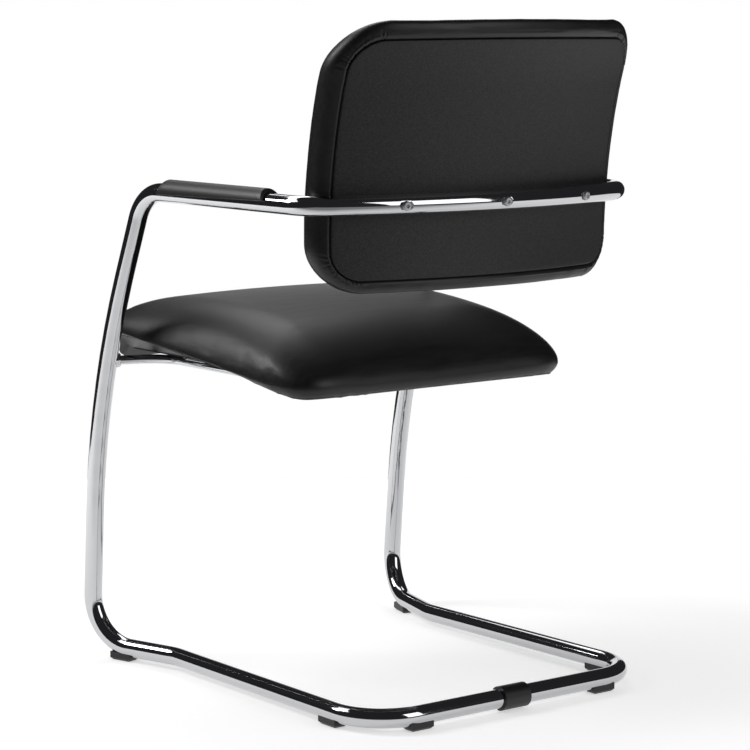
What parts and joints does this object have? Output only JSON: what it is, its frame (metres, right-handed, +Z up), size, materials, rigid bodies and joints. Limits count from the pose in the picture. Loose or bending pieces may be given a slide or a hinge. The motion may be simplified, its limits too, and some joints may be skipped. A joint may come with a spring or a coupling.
{
  "type": "visitor chair",
  "caption": "Cantilever visitor chair on a bent chromed tube frame, with padded seat and backrest in black faux leather, arm pads and floor glides.",
  "frame": {"origin": "middle of the chair's bounding box, on the floor", "axes": "+Z up, the sitter faces -Y, +X towards the sitter's left"},
  "size_m": [0.5446, 0.592, 0.8479],
  "materials": {
    "chromed steel tube": "polished",
    "zinc plated steel": "satin",
    "black plastic": "satin",
    "textured black panel": "matt, fine texture",
    "faux leather cover": "smooth, semi-matt",
    "upholstery foam": "open cell",
    "plywood board": "raw",
    "dust cover felt": "matt"
  },
  "bodies": {
    "root": {"floor_tube_left": "chromed steel tube", "floor_tube_right": "chromed steel tube", "leg_arm_tube_left": "chromed steel tube", "leg_arm_tube_right": "chromed steel tube", "back_rail_tube": "chromed steel tube", "seat_support_bar": "chromed steel tube", "seat_bar_welds": "chromed steel tube", "seat_mount_tabs": "chromed steel tube", "joint_spigot": "zinc plated steel", "seat_screws": "zinc plated steel", "seat_tee_nuts": "zinc plated steel", "backrest_tee_nuts": "zinc plated steel", "backrest_screws": "chromed steel tube", "floor_bar_clip": "black plastic", "glide_rear_left": "black plastic", "glide_rear_right": "black plastic", "glide_rail_left": "black plastic", "glide_rail_right": "black plastic", "glide_front_left": "black plastic", "glide_front_right": "black plastic", "arm_pad_left": "black plastic", "arm_pad_right": "black plastic", "backrest_panel_clips": "black plastic", "backrest_rear_panel": "textured black panel", "seat_cover": "faux leather cover", "backrest_cover": "faux leather cover", "seat_foam": "upholstery foam", "backrest_foam": "upholstery foam", "seat_board": "plywood board", "backrest_board": "plywood board", "seat_dust_cover": "dust cover felt"}
  },
  "joints": []
}
